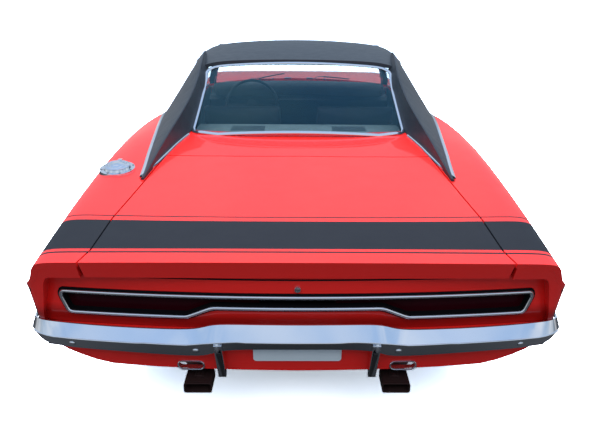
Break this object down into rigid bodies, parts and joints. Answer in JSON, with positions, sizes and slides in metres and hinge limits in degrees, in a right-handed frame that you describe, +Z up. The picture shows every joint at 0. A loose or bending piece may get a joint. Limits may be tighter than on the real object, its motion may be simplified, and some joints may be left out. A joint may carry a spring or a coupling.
{
  "type": "muscle car",
  "caption": "Two-door fastback muscle car of about 1970 with sail-shaped roof pillars, a wide recessed tail lamp, opening doors, hood and trunk, and steered front wheels.",
  "frame": {"origin": "on the floor, at the middle of the car's length and width", "axes": "+Y points to the nose, +X to the car's right side, +Z up"},
  "size_m": [1.956, 5.2818, 1.3508],
  "materials": {
    "paint": "smooth",
    "vinyl": "smooth",
    "chrome": "smooth",
    "glass": "smooth",
    "red_lens": "smooth",
    "clear_lens": "smooth",
    "amber_lens": "smooth",
    "black_metal": "smooth",
    "cast_iron": "smooth",
    "steel": "smooth",
    "tyre": "smooth",
    "trim": "smooth",
    "seat": "smooth",
    "plate": "smooth",
    "wheel_paint": "smooth",
    "grey_trim": "smooth"
  },
  "bodies": {
    "car_body": {"cowl_panel": "paint", "dashboard": "trim", "deck_panel": "paint", "driveshaft": "steel", "engine_block": "cast_iron", "exhaust_system": "steel", "floor_pan": "black_metal", "front_bumper": "chrome", "front_fenders": "paint", "front_seats": "seat", "front_subframe": "black_metal", "front_valance": "paint", "fuel_filler": "chrome", "fuel_tank": "steel", "grille": "black_metal", "headlamps": "clear_lens", "hinges": "black_metal", "nose_panel": "paint", "number_plate": "plate", "parcel_shelf": "grey_trim", "parking_lamps": "amber_lens", "quarter_glass": "glass", "quarter_panels": "paint", "radiator": "black_metal", "rear_axle": "cast_iron", "rear_bumper": "chrome", "rear_seat": "seat", "rear_valance": "paint", "rear_window": "glass", "reversing_lamps": "clear_lens", "roof": "vinyl", "sills": "paint", "steering_column": "trim", "tail_lamp_lens": "red_lens", "tail_lamp_ring": "chrome", "tail_panel": "paint", "wheelhouses": "black_metal", "windscreen": "glass"},
    "hood_body": {"hood": "paint"},
    "trunk_lid_body": {"trunk_lid": "paint"},
    "door_right_body": {"door_right": "paint", "door_glass_right": "glass"},
    "door_left_body": {"door_left": "paint", "door_glass_left": "glass"},
    "steering_wheel_body": {"steering_wheel": "trim"},
    "knuckle_left_body": {"knuckle_left": "cast_iron"},
    "knuckle_right_body": {"knuckle_right": "cast_iron"},
    "road_wheel_front_left": {"tyre_front_left": "tyre", "wheel_front_left": "wheel_paint"},
    "road_wheel_front_right": {"tyre_front_right": "tyre", "wheel_front_right": "wheel_paint"},
    "road_wheel_rear_left": {"tyre_rear_left": "tyre", "wheel_rear_left": "wheel_paint"},
    "road_wheel_rear_right": {"tyre_rear_right": "tyre", "wheel_rear_right": "wheel_paint"}
  },
  "joints": [
    {"name": "wheel_front_left_spin", "type": "hinge", "parent": "knuckle_left_body", "child": "road_wheel_front_left", "pos_m": [-0.758, 1.7165, 0.334], "axis": [1, 0, 0], "continuous": true},
    {"name": "wheel_rear_left_spin", "type": "hinge", "parent": "car_body", "child": "road_wheel_rear_left", "pos_m": [-0.752, -1.2555, 0.334], "axis": [1, 0, 0], "continuous": true},
    {"name": "wheel_front_right_spin", "type": "hinge", "parent": "knuckle_right_body", "child": "road_wheel_front_right", "pos_m": [0.758, 1.7165, 0.334], "axis": [1, 0, 0], "continuous": true},
    {"name": "wheel_rear_right_spin", "type": "hinge", "parent": "car_body", "child": "road_wheel_rear_right", "pos_m": [0.752, -1.2555, 0.334], "axis": [1, 0, 0], "continuous": true},
    {"name": "steer_left", "type": "hinge", "parent": "car_body", "child": "knuckle_left_body", "pos_m": [-0.692, 1.7165, 0.334], "axis": [0, 0, 1], "range_deg": [-30, 30]},
    {"name": "steer_right", "type": "hinge", "parent": "car_body", "child": "knuckle_right_body", "pos_m": [0.692, 1.7165, 0.334], "axis": [0, 0, 1], "range_deg": [-30, 30]},
    {"name": "steering_wheel_turn", "type": "hinge", "parent": "car_body", "child": "steering_wheel_body", "pos_m": [-0.37, 0.3605, 0.83], "axis": [0, -0.9135, 0.4067], "range_deg": [-480, 480]},
    {"name": "hood_hinge", "type": "hinge", "parent": "car_body", "child": "hood_body", "pos_m": [0, 1.0725, 0.968], "axis": [1, 0, 0], "range_deg": [0, 50]},
    {"name": "trunk_hinge", "type": "hinge", "parent": "car_body", "child": "trunk_lid_body", "pos_m": [0, -1.6075, 0.941], "axis": [1, 0, 0], "range_deg": [-50, 0]},
    {"name": "door_right_hinge", "type": "hinge", "parent": "car_body", "child": "door_right_body", "pos_m": [0.925, 1.0705, 0.6], "axis": [0, 0, 1], "range_deg": [0, 65]},
    {"name": "door_left_hinge", "type": "hinge", "parent": "car_body", "child": "door_left_body", "pos_m": [-0.925, 1.0705, 0.6], "axis": [0, 0, 1], "range_deg": [-65, 0]}
  ],
  "couplings": [
    {"joint": "steer_right", "follows": "steer_left", "ratio": 1},
    {"joint": "steering_wheel_turn", "follows": "steer_left", "ratio": 16}
  ]
}
